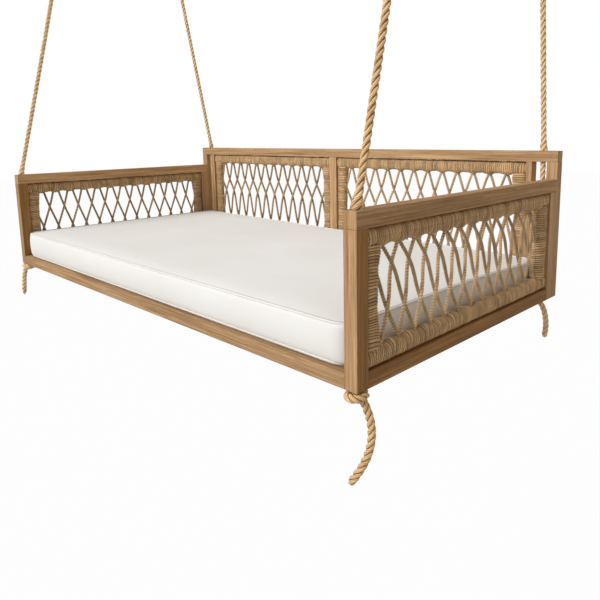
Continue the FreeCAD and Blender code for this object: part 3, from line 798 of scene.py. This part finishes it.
NODE_BULGE = 0.0062  # how far the winding swells where the lattice cords leave it
NODE_SPAN = 0.20  # in pitches
UPRIGHT_SWELL = {"arm_right": (0.0026, 0.0125)}  # at the low and the high end of a panel
PLAIN_SWELL = (0.0026, 0.0026)
UPRIGHT_FLARE = 0.0085  # how much further the uprights' winding reaches into the corners
UPRIGHT_FLARE_REACH = 0.055
UPRIGHT_TUCK = 0.004  # the uprights' winding runs this far under that of the long bars
UPRIGHT_LEAN = 0.6  # share of TURN_LEAN
LONG_LUMPS = 0.4  # share of the lumps that a long bar has
TURN_PROFILE = ((0.0, 0.0), (0.2, 0.78), (0.5, 1.0), (0.8, 0.78))  # shares of width and of height
TURN_SPREAD = 0.20  # share by which turns are wider or narrower
TURN_UNEVEN = 0.0003
TURNS_APART = 1000  # between the turns' numbers on one bar and on the next, so that tones differ
END_SHRINK = 0.25  # the ends of a bar are rounded over
END_ROUND = 0.012
END_STRAIGHT = 0.02  # the turns stop leaning this far from the ends
WAVERS = {  # unevenness: a factor for the seed, how fine it is, and its size
    "lean": (3.7, 16, 0.0035),
    "rough": (5.3, 60, 0.0011),
    "lumps": (9.1, 30, 0.0022),
    "slant": (2.9, 11, 1.0),
}
ROUND_SHARE = 0.12  # how much of that unevenness a turn meets on its way round
OVERRUN = 0.1  # a lattice cord is drawn this share past both bars, then cut
CORD_POINTS = 241
OUTSIDE = 3  # cords that start this many pitches outside still cross the opening
SHORTEST_CORD = 0.10  # share of the opening's height
FIRST_MARK = 10
FIRST_SEED = 11
SEEDS_APART = 10
NEXT_PHASE = 1.1  # angle by which a cord's strands start later than its neighbour's


def wavering(seed, points, scale):
    """Smooth values from -1 to 1 at (n, 2) places, the same on every run."""
    return np.array([noise.noise(Vector((x * scale, y * scale, seed))) for x, y in points])


class Panel:
    """One corded panel. along is the axis of its long bars: 0 for x, 1 for y.

    heads says how far from the opening's low end the first cord of each layer leaves the top bar,
    and falls how many pitches it shifts: the layer that falls to the low end, then the other.
    bend is how much of that shift comes early, so that the cords curve. front is 1 where the
    second layer passes in front at a cord's first crossing. finish is the cords' material.
    """

    def __init__(self, name, along, pitch, heads, falls, bend, front, finish):
        self.name = name
        self.kind = name.split("_")[0]
        self.along = along
        self.pitch = pitch
        self.falls = falls
        self.bend = bend
        self.front = front
        self.finish = finish
        low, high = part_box(f"wrap_{name}")
        self.low = low[along] - WINDING_PROUD
        self.high = high[along] + WINDING_PROUD
        self.bottom = low.z - WINDING_PROUD
        self.top = high.z + WINDING_PROUD
        self.width = BAR_WIDTH + WINDING_PROUD
        self.inner_low = self.low + self.width
        self.inner_high = self.high - self.width
        self.heads = [self.inner_low + head for head in heads]
        self.middle = (low[1 - along] + high[1 - along]) / 2
        self.thick = high[1 - along] - low[1 - along]

    def placed(self, along, across, up):
        """Points of the panel from its own coordinates."""
        pair = (along, self.middle + across) if self.along == 0 else (self.middle + across, along)
        return np.stack([*np.broadcast_arrays(*pair, up)], axis=-1)


def bar_outline(width, thick):
    """The rounded section of a wound bar: across its width, through its thickness, and normals."""
    flat_w, flat_t = width / 2 - BAR_ROUND, thick / 2 - BAR_ROUND
    middles, normals = corner_arcs(-flat_w, flat_w, -flat_t, flat_t, BAR_POINTS // 4)
    return middles + BAR_ROUND * normals, normals


def turn_rows(length, seed):
    """Places along a bar, how high its turns stand there, and how many turns come before."""
    count = max(1, round(length / TURN_PITCH))
    dice = random.Random(seed)
    widths = np.array([dice.uniform(1 - TURN_SPREAD, 1 + TURN_SPREAD) for _ in range(count)])
    edges = np.concatenate(([0], np.cumsum(widths))) / widths.sum() * length
    proud = np.array([dice.gauss(0, TURN_UNEVEN) for _ in range(count)])
    rows = []
    for number in range(count):
        for share, height in TURN_PROFILE:
            place = edges[number] + share * (edges[number + 1] - edges[number])
            rows.append((place, height * (TURN_HEIGHT + proud[number]), number + share))
    rows.append((edges[-1], 0.0, count))
    places, heights, turns = np.array(rows).T
    return places, heights, turns + seed * TURNS_APART


def winding(panel, shape, start, end, level, inner, seed, node=None, swell=0.0):
    """Turns of fine cord round one bar.

    node is where the lattice's cords leave a long bar, so that the turns bunch there. An upright
    has none, and its winding swells by swell instead.
    """
    upright = node is None
    outline, outward = bar_outline(panel.width - 2 * TURN_HEIGHT, panel.thick - 2 * TURN_HEIGHT)
    length = end - start
    places, heights, turns = turn_rows(length, seed)
    near = np.minimum(places, length - places)
    shrink = 1 - END_SHRINK * np.clip(1 - near / END_ROUND, 0, 1) ** 2
    ends = np.clip(near / END_STRAIGHT, 0, 1)[:, None]
    around = np.linspace(0, 1, len(outline), endpoint=False)
    grid = [(place, turn) for place in places for turn in around * ROUND_SHARE]
    row = [(place, 0.5) for place in places]

    def waver(kind, where):
        factor, scale, size = WAVERS[kind]
        return wavering(seed * factor, where, scale) * size

    lean = waver("lean", grid).reshape(len(places), -1)
    lean = lean + 0.5 * TURN_PITCH * np.sin(2 * math.pi * around)[None]
    rough = waver("rough", grid).reshape(len(places), -1)
    lumps = waver("lumps", row)
    if upright:
        bulge = lumps + swell + UPRIGHT_FLARE * np.exp(-((near / UPRIGHT_FLARE_REACH) ** 2))
        slant = TURN_LEAN[panel.kind] * UPRIGHT_LEAN * waver("slant", row)
    else:
        cycle = (start + places - node) / panel.pitch
        off = (cycle - np.round(cycle)) / NODE_SPAN
        bulge = NODE_BULGE * np.exp(-(off**2)) + LONG_LUMPS * lumps
        slant = TURN_LEAN[panel.kind] * np.sin(2 * math.pi * cycle) * inner
    lean = lean + slant[:, None] * (outline[:, 0] / (panel.width / 2))[None]
    inward = np.clip(outward[:, 0] * inner, 0, 1)
    out = heights[:, None] + rough + bulge[:, None] * inward[None] * (1 if upright else ends)
    across = (outline[None, :, 0] + outward[None, :, 0] * out) * shrink[:, None]
    through = (outline[None, :, 1] + outward[None, :, 1] * out) * shrink[:, None]
    run = start + places[:, None] + lean * ends
    if upright:
        rings = panel.placed(level + across, through, run)
    else:
        rings = panel.placed(run, through, level + across)
    if upright != (panel.along == 1):
        rings = rings[:, ::-1]
    shape.tube(rings, turns, around)


def wraps(panel, seed):
    """The winding on all four bars of a panel."""
    shape = Shape()
    half = panel.width / 2
    head = sum(panel.heads) / 2
    foot = head + (panel.falls[1] - panel.falls[0]) * panel.pitch / 2
    bars = ((panel.top - half, -1, head), (panel.bottom + half, 1, foot))
    for number, (level, inner, node) in enumerate(bars):
        winding(panel, shape, panel.low, panel.high, level, inner, seed + number, node)
    inset = panel.width - UPRIGHT_TUCK
    swells = UPRIGHT_SWELL.get(panel.name, PLAIN_SWELL)
    uprights = ((panel.low + half, 1, swells[0]), (panel.high - half, -1, swells[1]))
    for number, (level, inner, swell) in enumerate(uprights, len(bars)):
        low, high = panel.bottom + inset, panel.top - inset
        winding(panel, shape, low, high, level, inner, seed + number, swell=swell)
    piece = shape.made(f"winding_{panel.name}", WINDING)
    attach(piece, "bed")
    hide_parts(f"wrap_{panel.name}", f"core_{panel.name}")


def lattice(panel):
    """Two layers of twisted cords, woven over and under each other."""
    shape = Shape()
    base, crest = panel.bottom + panel.width, panel.top - panel.width
    tall = crest - base
    count = int((panel.inner_high - panel.inner_low) / panel.pitch) + 1
    closing = sum(panel.falls)
    apart = (panel.heads[1] - panel.heads[0]) / panel.pitch
    shares = np.linspace(-OVERRUN, 1 + OVERRUN, CORD_POINTS)
    drift = shares + panel.bend * shares * (1 - shares)
    reach = CORD_TUCK / tall
    for layer, direction in enumerate((-1, 1)):
        for place in range(-OUTSIDE, count + OUTSIDE + 1):
            head = panel.heads[layer] + place * panel.pitch
            along = head + direction * panel.falls[layer] * panel.pitch * drift
            inside = (along > panel.inner_low - CORD_TUCK) & (along < panel.inner_high + CORD_TUCK)
            inside &= (shares > -reach) & (shares < 1 + reach)
            if inside.sum() < SHORTEST_CORD * len(shares):
                continue
            crossings = (drift[inside] * closing) + apart
            depth = -direction * panel.front * WEAVE_DEPTH * np.cos(math.pi * crossings)
            line = panel.placed(along[inside], depth, crest - tall * shares[inside])
            mark = FIRST_MARK + place + layer * SECOND_LAYER
            look = {"sides": CORD_SIDES, "phase": place * NEXT_PHASE, "number": mark}
            lay_rope(shape, line, CORD_RADIUS, CORD_LAY, CORD_STEP, **look)
    piece = shape.made(f"cords_{panel.name}", panel.finish)
    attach(piece, "bed")
    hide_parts(f"lattice_{panel.name}")


def panels():
    back_heads = (0.0327, 0.0327)
    made = [
        Panel("arm_left", 1, 0.066, (0.006, 0.028), (1.165, 1.165), 0.02, -1, SHADED_CORD),
        Panel("arm_right", 1, 0.066, (0.012, 0.025), (0.79, 1.85), 0.25, 1, CORD),
        Panel("back_left", 0, 0.0664, back_heads, (1.75, 1.75), 0.34, -1, SHADED_CORD),
        Panel("back_right", 0, 0.0654, back_heads, (1.75, 1.75), 0.34, -1, CORD),
    ]
    for number, panel in enumerate(made):
        wraps(panel, FIRST_SEED + SEEDS_APART * number)
        lattice(panel)


# ---------------------------------------------------------------- mattress

TOP_SEAM = 0.008  # below the top of the mattress
LOW_SEAM = 0.006  # above its bottom
SIDE_ROOM = Vector((0.006, 0.005, 0))  # the sides swell out by about this much
PLATEAU_DROP = 0.005
SHOULDER = 0.036
CORNER_ROUND = 0.034
SHELL_EDGE = 0.044  # strip along the edges where the cover's quads are smaller
SHELL_STEP = 0.026
SHELL_LEVELS = 7
FILL_PRESSURE = 4.0
FILL_STEPS = 20
FILL_CAP = 0.0065  # the furthest that the filling pushes the cover out
TOP_WELT = 0.0030  # radius of the welt in the upper seam
LOW_WELT = 0.0021
WELT_SUNK = 0.0014
WELT_STEP = 0.008
WELT_SIDES = 10
WELT_ARC = 9  # points round each corner
WELT_EASINGS = 8  # how often its line is smoothed
STITCH_SHADE_PLACE = 0.0036  # from the middle of the welt to the darker stitch lines on either side of it, painted shade for the seam's creases
STITCH_SHADE_RADIUS = 0.0009
BARREL = 0.0055  # how far its sides stand out between the seams
SLUMP = 0.015  # how far its top sinks at the back right corner
BROAD_DIP = 0.0022
FOLD_DIP = 0.0009
DIP_FADE = 0.12  # the dips fade out over this distance from the edge


def spaced(low, high, edge, step):
    """Places from low to high, closer together near both ends."""
    inner = np.linspace(low + edge, high - edge, max(2, round((high - low - 2 * edge) / step)))
    lead = np.array([0, 0.25, 0.6]) * edge
    return np.concatenate([low + lead, inner, high - lead[::-1]])


def from_core(x, y, low, high):
    """A place's nearest point of the rectangle without its round edge, and the way from there."""
    core_x = min(max(x, low.x + CORNER_ROUND), high.x - CORNER_ROUND)
    core_y = min(max(y, low.y + CORNER_ROUND), high.y - CORNER_ROUND)
    return core_x, core_y, x - core_x, y - core_y


def round_corner(x, y, low, high):
    """A place on a rectangle's grid, moved so that the rectangle's corners are round."""
    core_x, core_y, off_x, off_y = from_core(x, y, low, high)
    reach = math.hypot(off_x, off_y)
    if reach < 1e-6:
        return x, y
    share = max(abs(off_x), abs(off_y)) / reach
    return core_x + off_x * share, core_y + off_y * share


def mattress_shell(low, high):
    """The cover as one closed grid of quads, and which of its points are sewn or rest on the deck."""
    xs = spaced(low.x, high.x, SHELL_EDGE, SHELL_STEP)
    ys = spaced(low.y, high.y, SHELL_EDGE, SHELL_STEP)
    levels = np.linspace(low.z + LOW_SEAM, high.z - TOP_SEAM, SHELL_LEVELS)
    far_x, far_y, top = len(xs) - 1, len(ys) - 1, len(levels) - 1
    rise = TOP_SEAM - PLATEAU_DROP
    index = {}
    points = []
    faces = []
    held = []

    def at(i, j, k):
        if (i, j, k) not in index:
            index[i, j, k] = len(points)
            inside = min(xs[i] - low.x, high.x - xs[i], ys[j] - low.y, high.y - ys[j])
            crown = 1 - (1 - min(inside / SHOULDER, 1)) ** 2
            height = levels[k]
            if k == top:
                height += rise * crown
            if k == 0:
                height -= LOW_SEAM * crown
            if k == 0 or (k == top and inside < 1e-6):
                held.append(len(points))
            points.append((*round_corner(xs[i], ys[j], low, high), height))
        return index[i, j, k]

    def quad(*corners):
        faces.append([at(*corner) for corner in corners])

    for i in range(far_x):
        for j in range(far_y):
            quad((i, j, 0), (i, j + 1, 0), (i + 1, j + 1, 0), (i + 1, j, 0))
            quad((i, j, top), (i + 1, j, top), (i + 1, j + 1, top), (i, j + 1, top))
    for k in range(top):
        for i in range(far_x):
            quad((i, 0, k), (i + 1, 0, k), (i + 1, 0, k + 1), (i, 0, k + 1))
            quad((i, far_y, k), (i, far_y, k + 1), (i + 1, far_y, k + 1), (i + 1, far_y, k))
        for j in range(far_y):
            quad((0, j, k), (0, j, k + 1), (0, j + 1, k + 1), (0, j + 1, k))
            quad((far_x, j, k), (far_x, j + 1, k), (far_x, j + 1, k + 1), (far_x, j, k + 1))
    return points, faces, held


def applied(piece, modifier):
    bpy.context.view_layer.objects.active = piece
    bpy.ops.object.modifier_apply(modifier=modifier.name)


def filled(piece, held):
    """Lets the filling's pressure push the cover out between its seams, as cloth."""
    scene = bpy.context.scene
    rest = np.array([vertex.co for vertex in piece.data.vertices])
    sewn = piece.vertex_groups.new(name="sewn")
    sewn.add(held, 1.0, "REPLACE")
    modifier = piece.modifiers.new("filling", "CLOTH")
    cloth = modifier.settings
    cloth.quality = 5
    cloth.mass = 0.3
    cloth.tension_stiffness = cloth.compression_stiffness = 25
    cloth.bending_stiffness = 3
    cloth.use_pressure = True
    cloth.uniform_pressure_force = FILL_PRESSURE
    cloth.vertex_group_mass = "sewn"
    cloth.effector_weights.gravity = 0
    for number in range(FILL_STEPS):
        scene.frame_set(number + 1)
    applied(piece, modifier)
    scene.frame_set(1)
    moved = np.array([vertex.co for vertex in piece.data.vertices]) - rest
    far = np.linalg.norm(moved, axis=1, keepdims=True)
    capped = moved * (FILL_CAP * np.tanh(far / FILL_CAP) / np.maximum(far, 1e-9))
    piece.data.vertices.foreach_set("co", (rest + capped).reshape(-1))
    piece.vertex_groups.clear()


def slump(x, y, low, high):
    """How far the top sinks at a place: not at all along the front and the left end."""
    reach = min(max((y - low.y) / (high.y - low.y) * 2 - 1, 0), 1)
    return SLUMP * (x - low.x) / (high.x - low.x) * reach * reach * (3 - 2 * reach)


def creased(piece, low, high):
    """Swollen sides, a top that sinks at one corner, and soft dips that fade out at the seams."""
    tall = high.z - low.z
    for vertex in piece.data.vertices:
        point = vertex.co
        rise = (point.z - low.z) / tall
        _, _, off_x, off_y = from_core(point.x, point.y, low, high)
        off = Vector((off_x, off_y, 0))
        if off.length > 0.9 * CORNER_ROUND:
            point += off.normalized() * (BARREL * max(1 - (2 * rise - 1) ** 2, 0))
        x, y, _ = point
        point.z -= slump(x, y, low, high) * max(rise, 0)
        if rise < 1 - TOP_SEAM / tall:
            continue
        inside = min(x - low.x, high.x - x, y - low.y, high.y - y)
        fade = min(max(inside / DIP_FADE, 0), 1)
        broad = noise.noise(Vector((x * 2.2, y * 3.1, 4.7)))
        fold = noise.noise(Vector((x * 5.5 + y * 4.0, y * 9.0 - x * 2.0, 1.3)))
        point.z += (BROAD_DIP * broad + FOLD_DIP * fold) * fade


def outline_points(low, high):
    """Even places round a rectangle with round corners, from its front right corner."""
    bounds = (low.x + CORNER_ROUND, high.x - CORNER_ROUND, low.y + CORNER_ROUND, high.y - CORNER_ROUND)
    middles, normals = corner_arcs(*bounds, WELT_ARC)
    flat = np.roll(middles + CORNER_ROUND * normals, WELT_ARC, axis=0)
    places = np.column_stack([flat, np.zeros(len(flat))])
    return stepped(np.concatenate([places, places[:1]]), WELT_STEP)[0][:-1]


def ringed(name, finish, loops, sides, ups):
    """Round cords that each close on themselves; loops are (centres, radius)."""
    shape = Shape()
    for centres, radius in loops:
        rings = swept(centres, sides, ups, radius * circle(WELT_SIDES))
        rings = np.concatenate([rings, rings[:1]])
        around = np.arange(WELT_SIDES) / WELT_SIDES
        shape.tube(rings, np.linspace(0, 1, len(rings)), around, capped=False)
    piece = shape.made(name, finish)
    joined = bmesh.new()
    joined.from_mesh(piece.data)
    bmesh.ops.remove_doubles(joined, verts=joined.verts, dist=1e-5)
    joined.to_mesh(piece.data)
    joined.free()
    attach(piece, "mattress")


def welt(name, cover, low, high, height, radius):
    """A covered cord, sewn into a seam all the way round, with a darker stitch line above and below it
    that is painted shade for the seam's creases.
    """
    centres = []
    for x, y, _ in outline_points(low, high):
        sunk = slump(x, y, low, high) * (height - low.z) / (high.z - low.z)
        _, place, normal, _ = cover.closest_point_on_mesh((x, y, height - sunk))
        centres.append(place + normal * (radius - WELT_SUNK))
    centres = np.array(centres)
    for _ in range(WELT_EASINGS):
        centres = (np.roll(centres, -1, axis=0) + 2 * centres + np.roll(centres, 1, axis=0)) / 4
    tangents = unit(np.roll(centres, -1, axis=0) - np.roll(centres, 1, axis=0))
    sides = unit(np.cross(tangents, (0, 0, 1)))
    ups = np.cross(sides, tangents)
    foot = centres - sides * (radius - WELT_SUNK)
    ringed(name, CANVAS, [(centres, radius)], sides, ups)
    # stitch lines in darker cloth either side of the welt: painted shade for the seam's creases
    rows = [(foot + ups * sign * STITCH_SHADE_PLACE, STITCH_SHADE_RADIUS) for sign in (-1, 1)]
    ringed(f"{name}_stitches", STITCH_SHADE_THREAD, rows, sides, ups)


def mattress():
    """A box cushion: crowned top, swelling sides and a welt along both seams."""
    box_low, box_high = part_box("mattress")
    low, high = box_low + SIDE_ROOM, box_high - SIDE_ROOM
    points, faces, held = mattress_shell(low, high)
    data = bpy.data.meshes.new("mattress_cover")
    data.from_pydata(points, [], faces)
    data.materials.append(CANVAS)
    cover = in_scene("mattress_cover", data)
    filled(cover, held)
    creased(cover, low, high)
    smooth = cover.modifiers.new("round", "SUBSURF")
    smooth.levels = smooth.render_levels = 1
    applied(cover, smooth)
    data.polygons.foreach_set("use_smooth", np.ones(len(data.polygons), bool))
    bpy.context.view_layer.update()
    welt("mattress_welt_top", cover, low, high, high.z - TOP_SEAM, TOP_WELT)
    welt("mattress_welt_bottom", cover, low, high, low.z + LOW_SEAM, LOW_WELT)
    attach(cover, "mattress")
    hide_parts("mattress")


# ---------------------------------------------------------------- carried-over CAD parts

GRAIN = {
    "x": ("back_top_rail", "back_bottom_rail", "front_rail", "deck_ledgers", "deck_centre_batten"),
    "y": ("arm_top_rail", "arm_bottom_rail", "deck_slats"),
    "z": ("front_post", "arm_rear_stile", "back_post", "back_stile", "back_centre_post", "frame_dowels"),
}
# Boards that are paler or darker than the rest; those under the mattress are bare wood
TINTS = {
    "deck_": 1.35,
    "frame_dowels": 1.35,
    "front_rail": 0.93,
    "front_post_left": 0.86,
    "front_post_right": 1.02,
    # the left arm's top rail and rear stile are painted paler: painted light on faces that stand in
    # shade
    "arm_top_rail_left": 1.22,
    "arm_rear_stile_left": 1.15,
    "arm_top_rail_right": 1.0,
    "arm_bottom_rail": 0.92,
}
PLAIN_TINT = 0.95  # the darkest of the other boards
TINT_SPREAD = 0.10
# Painted shade: boards whose faces other than the front and back are painted darker and redder
SIDE_SHADE_TONES = {
    "front_post": (0.70, 0.57, 0.31),
    "arm_bottom_rail": (0.66, 0.52, 0.29),
    "arm_top_rail_right": (0.88, 0.85, 0.80),
}
STEEL_KINDS = ("ceiling_hook", "corner", "bracket", "deck_screws", "frame_bolts", "panel_pins")


def found_by_start(table, name, otherwise):
    """The value of a table's first key that a name starts with."""
    return next((value for start, value in table.items() if name.startswith(start)), otherwise)


def frame_parts():
    """Gives each wooden member its own grain, and the fasteners their steel."""
    seeds = {name: number + 1 for number, name in enumerate(sorted(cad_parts))}
    for name, part in sorted(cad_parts.items()):
        kind = name.removesuffix("_left").removesuffix("_right")
        seed = seeds[name]
        axis = next((letter for letter, kinds in GRAIN.items() if kind in kinds), None)
        if axis:
            own = PLAIN_TINT + TINT_SPREAD * random.Random((seed - 1) * 7 + 3).random()
            tint = found_by_start(TINTS, name, own)
            sides = found_by_start(SIDE_SHADE_TONES, name, None)
            end_seed = seeds.get(name.replace("arm_top_rail", "front_post"), seed)
            finish = wood(f"wood_{name}", axis, seed, tint, sides, end_seed)
        elif kind.startswith(STEEL_KINDS):
            finish = STEEL
        else:
            continue
        part.data.materials.clear()
        part.data.materials.append(finish)


# ---------------------------------------------------------------- surroundings

SKY_TOP = (0.77, 0.76, 0.76)
SKY_SIDE = (0.34, 0.265, 0.155)
KEY_LIGHT = 2.45
KEY_COLOUR = (0.97, 0.985, 1.0)
KEY_FROM = (-0.16, -0.78, 0.52)
KEY_SPREAD = 0.55
FLOOR_HEIGHT = -5.0
FLOOR_REACH = 60
FLOOR_FINISH = {"Base Color": (0.55, 0.55, 0.55, 1), "Roughness": 1.0, "Specular IOR Level": 0.0}
FLOOR_WHITE = 0.97  # share of the floor that the camera sees as plain white


def seen_white(tree, other, share):
    """A shader that the camera sees as mostly plain white, while it lights the bed as other."""
    glow = add(tree, "ShaderNodeEmission", Color=(1, 1, 1, 1), Strength=1.0)
    seen = tree.nodes.new("ShaderNodeLightPath").outputs["Is Camera Ray"]
    mix = tree.nodes.new("ShaderNodeMixShader")
    inputs = {0: maths(tree, "MULTIPLY", seen, share), 1: other, 2: glow.outputs[0]}
    set_inputs(tree, mix, inputs)
    return mix.outputs[0]


def sky():
    """White to the camera, while its light is warm and dim near the horizon."""
    world = bpy.data.worlds.new("white")
    world.use_nodes = True
    tree = world.node_tree
    shader = tree.nodes["Background"]
    direction = tree.nodes.new("ShaderNodeTexCoord").outputs["Generated"]
    height = from_zero(tree, parts_of(tree, direction)[2])
    tree.links.new(ramp(tree, height, (0.55, SKY_SIDE), (1.0, SKY_TOP)), shader.inputs["Color"])
    outlet = tree.nodes["World Output"].inputs["Surface"]
    tree.links.new(seen_white(tree, shader.outputs[0], 1.0), outlet)
    bpy.context.scene.world = world


def floor():
    """A pale floor well below the swing."""
    paint, tree, shader = material("floor")
    set_inputs(tree, shader, FLOOR_FINISH)
    outlet = tree.nodes["Material Output"].inputs["Surface"]
    tree.links.new(seen_white(tree, shader.outputs[0], FLOOR_WHITE), outlet)
    data = bpy.data.meshes.new("floor")
    corners = [
        (x * FLOOR_REACH, y * FLOOR_REACH, FLOOR_HEIGHT)
        for x, y in ((-1, -1), (1, -1), (1, 1), (-1, 1))
    ]
    data.from_pydata(corners, [], [(0, 1, 2, 3)])
    data.materials.append(paint)
    in_scene("floor", data)


def key_light():
    """One broad light from the front left."""
    lamp = bpy.data.lights.new("key", "SUN")
    lamp.energy = KEY_LIGHT
    lamp.angle = KEY_SPREAD
    lamp.color = KEY_COLOUR
    key = in_scene("key", lamp)
    key.rotation_euler = Vector(KEY_FROM).to_track_quat("Z", "Y").to_euler()


camera()
ropes()
frame_parts()
panels()
mattress()
bpy.context.scene.view_settings.view_transform = "Standard"
sky()
floor()
key_light()
